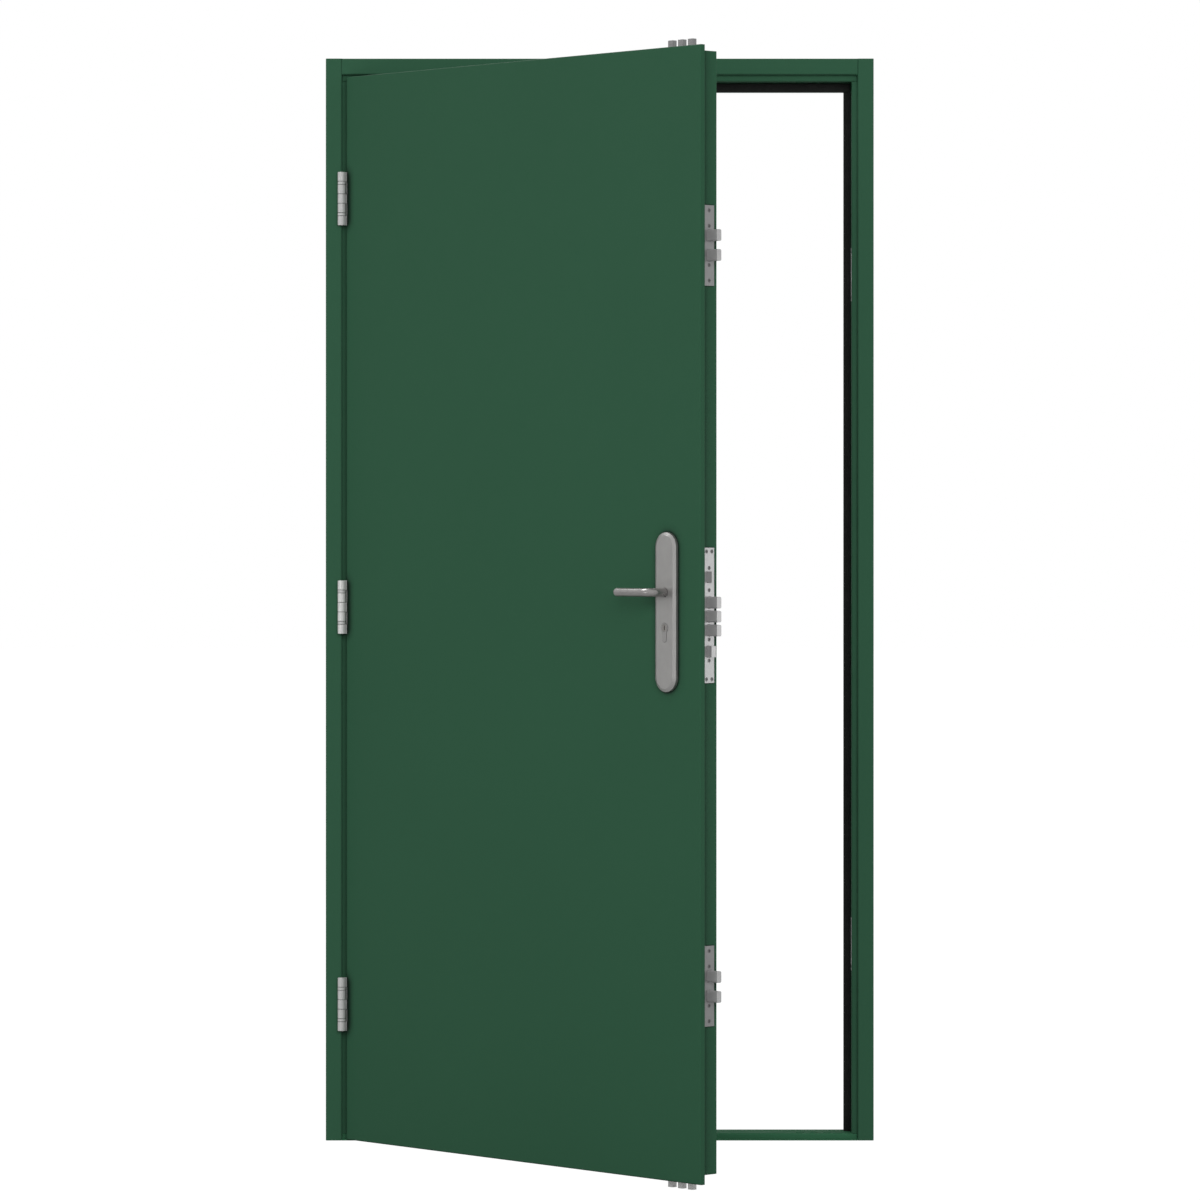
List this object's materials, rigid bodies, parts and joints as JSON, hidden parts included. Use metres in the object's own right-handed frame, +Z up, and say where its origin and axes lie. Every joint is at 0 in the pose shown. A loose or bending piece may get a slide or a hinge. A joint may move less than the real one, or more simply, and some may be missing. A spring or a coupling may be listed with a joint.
{
  "type": "steel security doorset",
  "caption": "Single-leaf steel security door on butt hinges in a folded steel frame, with a lever handle, key cylinder and multi-point bolts at the side, top and bottom.",
  "frame": {"origin": "middle of the threshold's underside, on the floor, half way through the frame's depth", "axes": "+Z up, +X to the viewer's right along the wall, towards the lock jamb, +Y into the wall"},
  "size_m": [1.02, 0.7867, 2.0259],
  "materials": {
    "frame_paint": "satin dark green powder coat",
    "leaf_paint": "satin dark green powder coat",
    "seal_rubber": "matt black rubber",
    "zinc_steel": "plain galvanised sheet",
    "satin_steel": "satin nickel",
    "screw_steel": "bright zinc",
    "plug_brass": "nickelled brass",
    "infill": "mineral wool"
  },
  "bodies": {
    "frame": {"hinge_jamb": "frame_paint", "lock_jamb": "frame_paint", "frame_head": "frame_paint", "threshold": "frame_paint", "hinge_jamb_seal": "seal_rubber", "lock_jamb_seal": "seal_rubber", "head_seal": "seal_rubber", "upper_keep": "satin_steel", "lower_keep": "satin_steel", "upper_keep_box": "zinc_steel", "lower_keep_box": "zinc_steel", "centre_keep_box": "zinc_steel", "keep_screws": "screw_steel", "hinge_backing_plates": "zinc_steel", "upper_hinge_frame_wing": "satin_steel", "middle_hinge_frame_wing": "satin_steel", "lower_hinge_frame_wing": "satin_steel", "hinge_pins": "satin_steel", "hinge_bearings": "satin_steel", "frame_wing_screws": "screw_steel"},
    "leaf": {"outer_skin": "leaf_paint", "inner_skin": "leaf_paint", "leaf_core": "infill", "hinge_stile": "zinc_steel", "lock_stile": "zinc_steel", "top_channel": "zinc_steel", "bottom_channel": "zinc_steel", "upper_hinge_leaf_wing": "satin_steel", "middle_hinge_leaf_wing": "satin_steel", "lower_hinge_leaf_wing": "satin_steel", "leaf_wing_screws": "screw_steel", "upper_lock_case": "zinc_steel", "centre_lock_case": "zinc_steel", "lower_lock_case": "zinc_steel", "upper_faceplate": "satin_steel", "centre_faceplate": "satin_steel", "lower_faceplate": "satin_steel", "faceplate_screws": "screw_steel", "top_bolt_guide": "zinc_steel", "bottom_bolt_guide": "zinc_steel", "outer_backplate": "satin_steel", "inner_backplate": "satin_steel", "backplate_bolts": "screw_steel", "cylinder_body": "satin_steel", "cylinder_screw": "screw_steel"},
    "lever_set": {"outer_lever": "satin_steel", "inner_lever": "satin_steel", "lever_spindle": "satin_steel", "lock_follower": "satin_steel"},
    "latch_set": {"latch_bolt": "satin_steel"},
    "centre_set": {"centre_bolts": "satin_steel"},
    "upper_set": {"upper_bolts": "satin_steel"},
    "lower_set": {"lower_bolts": "satin_steel"},
    "top_set": {"top_bolts": "satin_steel"},
    "bottom_set": {"bottom_bolts": "satin_steel"},
    "night_set": {"night_bolt": "satin_steel"},
    "thumb_set": {"thumbturn": "satin_steel"},
    "plug_set": {"key_plugs": "plug_brass", "cylinder_cam": "plug_brass"}
  },
  "joints": [
    {"name": "door_swing", "type": "hinge", "parent": "frame", "child": "leaf", "pos_m": [-0.48, -0.049, 1], "axis": [0, 0, -1], "range_deg": [-47.4, 122.6]},
    {"name": "lever_turn", "type": "hinge", "parent": "leaf", "child": "lever_set", "pos_m": [0.13695, -0.6697, 1.0285], "axis": [-0.7361, -0.6769, 0], "range_deg": [0, 40], "stiffness_Nm_per_rad": 1.5, "springref_deg": -34.38},
    {"name": "latch_slide", "type": "slide", "parent": "leaf", "child": "latch_set", "axis": [-0.6769, 0.7361, 0], "range_m": [0, 0.013]},
    {"name": "centre_bolts_slide", "type": "slide", "parent": "leaf", "child": "centre_set", "axis": [-0.6769, 0.7361, 0], "range_m": [0, 0.026]},
    {"name": "upper_bolts_slide", "type": "slide", "parent": "leaf", "child": "upper_set", "axis": [-0.6769, 0.7361, 0], "range_m": [0, 0.026]},
    {"name": "lower_bolts_slide", "type": "slide", "parent": "leaf", "child": "lower_set", "axis": [-0.6769, 0.7361, 0], "range_m": [0, 0.026]},
    {"name": "top_bolts_slide", "type": "slide", "parent": "leaf", "child": "top_set", "axis": [0, 0, -1], "range_m": [0, 0.026]},
    {"name": "bottom_bolts_slide", "type": "slide", "parent": "leaf", "child": "bottom_set", "axis": [0, 0, 1], "range_m": [0, 0.026]},
    {"name": "key_turn", "type": "hinge", "parent": "leaf", "child": "plug_set", "pos_m": [0.13695, -0.6697, 0.9665], "axis": [0.7361, 0.6769, 0], "range_deg": [0, 360]},
    {"name": "night_bolt_slide", "type": "slide", "parent": "leaf", "child": "night_set", "axis": [-0.6769, 0.7361, 0], "range_m": [0, 0.0125]},
    {"name": "thumbturn_turn", "type": "hinge", "parent": "leaf", "child": "thumb_set", "pos_m": [0.16644, -0.65006, 0.926], "axis": [0.7361, 0.6769, 0], "range_deg": [0, 90]}
  ],
  "couplings": [
    {"joint": "latch_slide", "follows": "lever_turn", "m_per_rad": 0.01862},
    {"joint": "upper_bolts_slide", "follows": "centre_bolts_slide", "ratio": 1},
    {"joint": "lower_bolts_slide", "follows": "centre_bolts_slide", "ratio": 1},
    {"joint": "top_bolts_slide", "follows": "centre_bolts_slide", "ratio": 1},
    {"joint": "bottom_bolts_slide", "follows": "centre_bolts_slide", "ratio": 1},
    {"joint": "key_turn", "follows": "centre_bolts_slide", "rad_per_m": 241.66},
    {"joint": "thumbturn_turn", "follows": "night_bolt_slide", "rad_per_m": 125.66}
  ]
}
